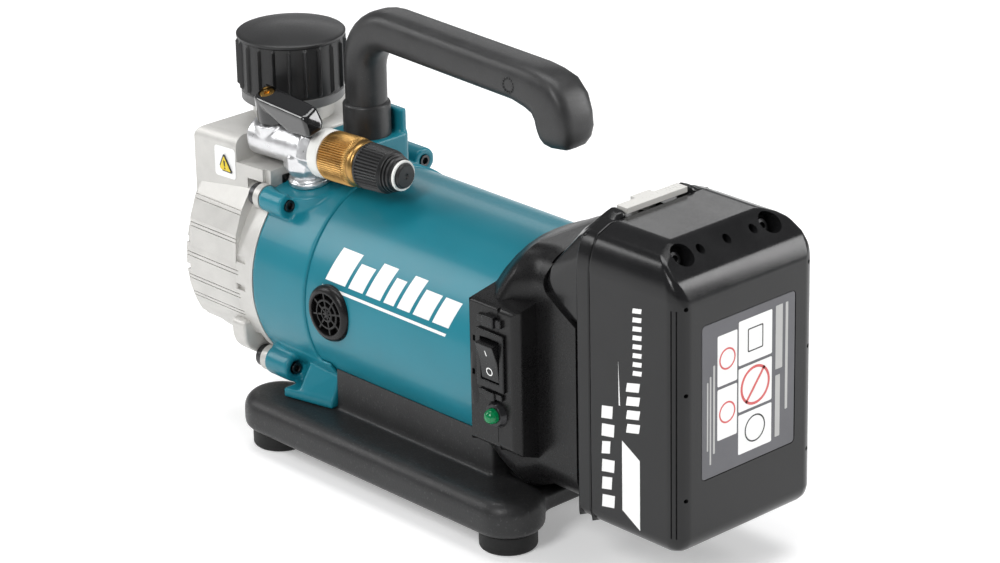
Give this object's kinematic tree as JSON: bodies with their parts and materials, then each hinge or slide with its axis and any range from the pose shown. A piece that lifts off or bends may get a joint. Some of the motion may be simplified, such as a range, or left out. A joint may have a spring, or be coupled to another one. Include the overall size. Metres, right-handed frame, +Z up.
{
  "type": "hvac vacuum pump",
  "caption": "Cordless rotary-vane vacuum pump with oil chamber, motor tube, ball valve inlet, hooked handle, rocker switch, skid base and slide-on battery.",
  "frame": {"origin": "on the floor, under the middle of the outline", "axes": "+X along the motor axis from the oil cover to the battery, -Y towards the switch, +Z up"},
  "size_m": [0.2843, 0.1146, 0.186],
  "materials": {
    "base_plastic": "fine grained moulded plastic",
    "foot_rubber": "matte rubber",
    "teal_paint": "semi-gloss teal paint",
    "cast_aluminium": "bead-blasted casting",
    "dark_screws": "black oxide",
    "steel": "ground steel",
    "magnet": "nickel plated",
    "copper": "enamelled winding",
    "label_white": "printed film",
    "label_grey": "printed film",
    "vane_carbon": "carbon-filled",
    "fan_plastic": "moulded",
    "housing_plastic": "fine spark-eroded texture",
    "board_green": "circuit board",
    "terminal": "insulated terminal block",
    "switch_plastic": "polished",
    "bezel": "dark chrome",
    "led_green": "tinted lens",
    "sight_glass": "clear",
    "glass_ring": "turned",
    "grip_rubber": "matte overmould",
    "valve_chrome": "chromed brass forging",
    "nylon": "natural",
    "brass": "knurled, tarnished",
    "lever_gloss": "gloss lacquer",
    "cap_black": "satin",
    "cap_seal": "grey",
    "battery_black": "semi-gloss moulded",
    "button_pale": "smooth"
  },
  "bodies": {
    "pump": {"base": "base_plastic", "rubber_feet": "foot_rubber", "foot_screws": "dark_screws", "front_bracket": "teal_paint", "motor_tube": "teal_paint", "vent_grille": "housing_plastic", "oil_cover": "cast_aluminium", "cover_bolts": "dark_screws", "lug_screws": "dark_screws", "sight_glass": "sight_glass", "sight_glass_ring": "glass_ring", "drain_plug": "steel", "hazard_label": "label_white", "pump_front_plate": "cast_aluminium", "pump_cylinder": "steel", "pump_end_plate": "cast_aluminium", "pump_screws": "dark_screws", "exhaust_reed": "steel", "oil_baffle": "steel", "shaft_seal": "fan_plastic", "ball_bearings": "steel", "rear_shield": "cast_aluminium", "stator_core": "steel", "stator_windings": "copper", "rear_housing_front": "housing_plastic", "rear_housing_rear": "housing_plastic", "housing_screws": "dark_screws", "battery_terminals": "terminal", "controller_board": "board_green", "switch_body": "switch_plastic", "led_bezel": "bezel", "led_lens": "led_green", "handle_tube": "steel", "handle_grip": "grip_rubber", "valve_body": "valve_chrome", "valve_seats": "nylon", "inlet_spigot": "brass", "nylon_washer": "nylon", "retaining_ring": "brass"},
    "rotor": {"shaft": "steel", "pump_rotor": "steel", "vanes": "vane_carbon", "magnet_rotor": "magnet", "cooling_fan": "fan_plastic"},
    "oil_cap_seal": {"oil_cap_seal": "cap_seal"},
    "oil_cap": {"oil_cap": "cap_black"},
    "valve_lever": {"valve_lever": "lever_gloss", "lever_screw": "brass", "valve_stem": "brass"},
    "swivel_nut": {"swivel_nut": "brass"},
    "inlet_o_ring": {"inlet_o_ring": "nylon"},
    "inlet_cap": {"inlet_cap": "cap_black"},
    "switch_rocker": {"switch_rocker": "switch_plastic"},
    "battery": {"battery_case": "battery_black", "battery_rail_case": "battery_black", "battery_cells": "cast_aluminium", "battery_board": "board_green", "battery_screws": "dark_screws", "battery_label": "label_grey"},
    "release_button": {"release_button": "button_pale"}
  },
  "joints": [
    {"name": "motor_spin", "type": "hinge", "parent": "pump", "child": "rotor", "pos_m": [0, 0, 0.069], "axis": [1, 0, 0], "continuous": true},
    {"name": "oil_cap_lift", "type": "slide", "parent": "pump", "child": "oil_cap_seal", "axis": [0, 0, 1], "range_m": [0, 0.012]},
    {"name": "oil_cap_turn", "type": "hinge", "parent": "oil_cap_seal", "child": "oil_cap", "pos_m": [-0.1193, 0, 0.14], "axis": [0, 0, 1], "range_deg": [0, 1440]},
    {"name": "valve_turn", "type": "hinge", "parent": "pump", "child": "valve_lever", "pos_m": [-0.10095, -0.02536, 0.12608], "axis": [0, 0.1736, -0.9848], "range_deg": [0, 90]},
    {"name": "swivel_nut_spin", "type": "hinge", "parent": "pump", "child": "swivel_nut", "pos_m": [-0.084, -0.0241, 0.1263], "axis": [0.9971, 0.0744, 0.0131], "continuous": true},
    {"name": "inlet_cap_slide", "type": "slide", "parent": "pump", "child": "inlet_o_ring", "axis": [0.9971, 0.0744, 0.0131], "range_m": [0, 0.0145]},
    {"name": "inlet_cap_turn", "type": "hinge", "parent": "inlet_o_ring", "child": "inlet_cap", "pos_m": [-0.084, -0.0241, 0.1263], "axis": [0.9971, 0.0744, 0.0131], "range_deg": [0, 4110.24]},
    {"name": "switch_rock", "type": "hinge", "parent": "pump", "child": "switch_rocker", "pos_m": [0.0527, -0.048, 0.0805], "axis": [-1, 0, 0], "range_deg": [0, 20]},
    {"name": "battery_slide", "type": "slide", "parent": "pump", "child": "battery", "axis": [0, 0, 1], "range_m": [0, 0.085]},
    {"name": "button_press", "type": "slide", "parent": "battery", "child": "release_button", "axis": [1, 0, 0], "range_m": [0, 0.004], "stiffness_N_per_m": 800, "springref_m": -0.002}
  ],
  "couplings": [
    {"joint": "oil_cap_turn", "follows": "oil_cap_lift", "rad_per_m": 2094.4},
    {"joint": "inlet_cap_turn", "follows": "inlet_cap_slide", "rad_per_m": 4947.4}
  ]
}
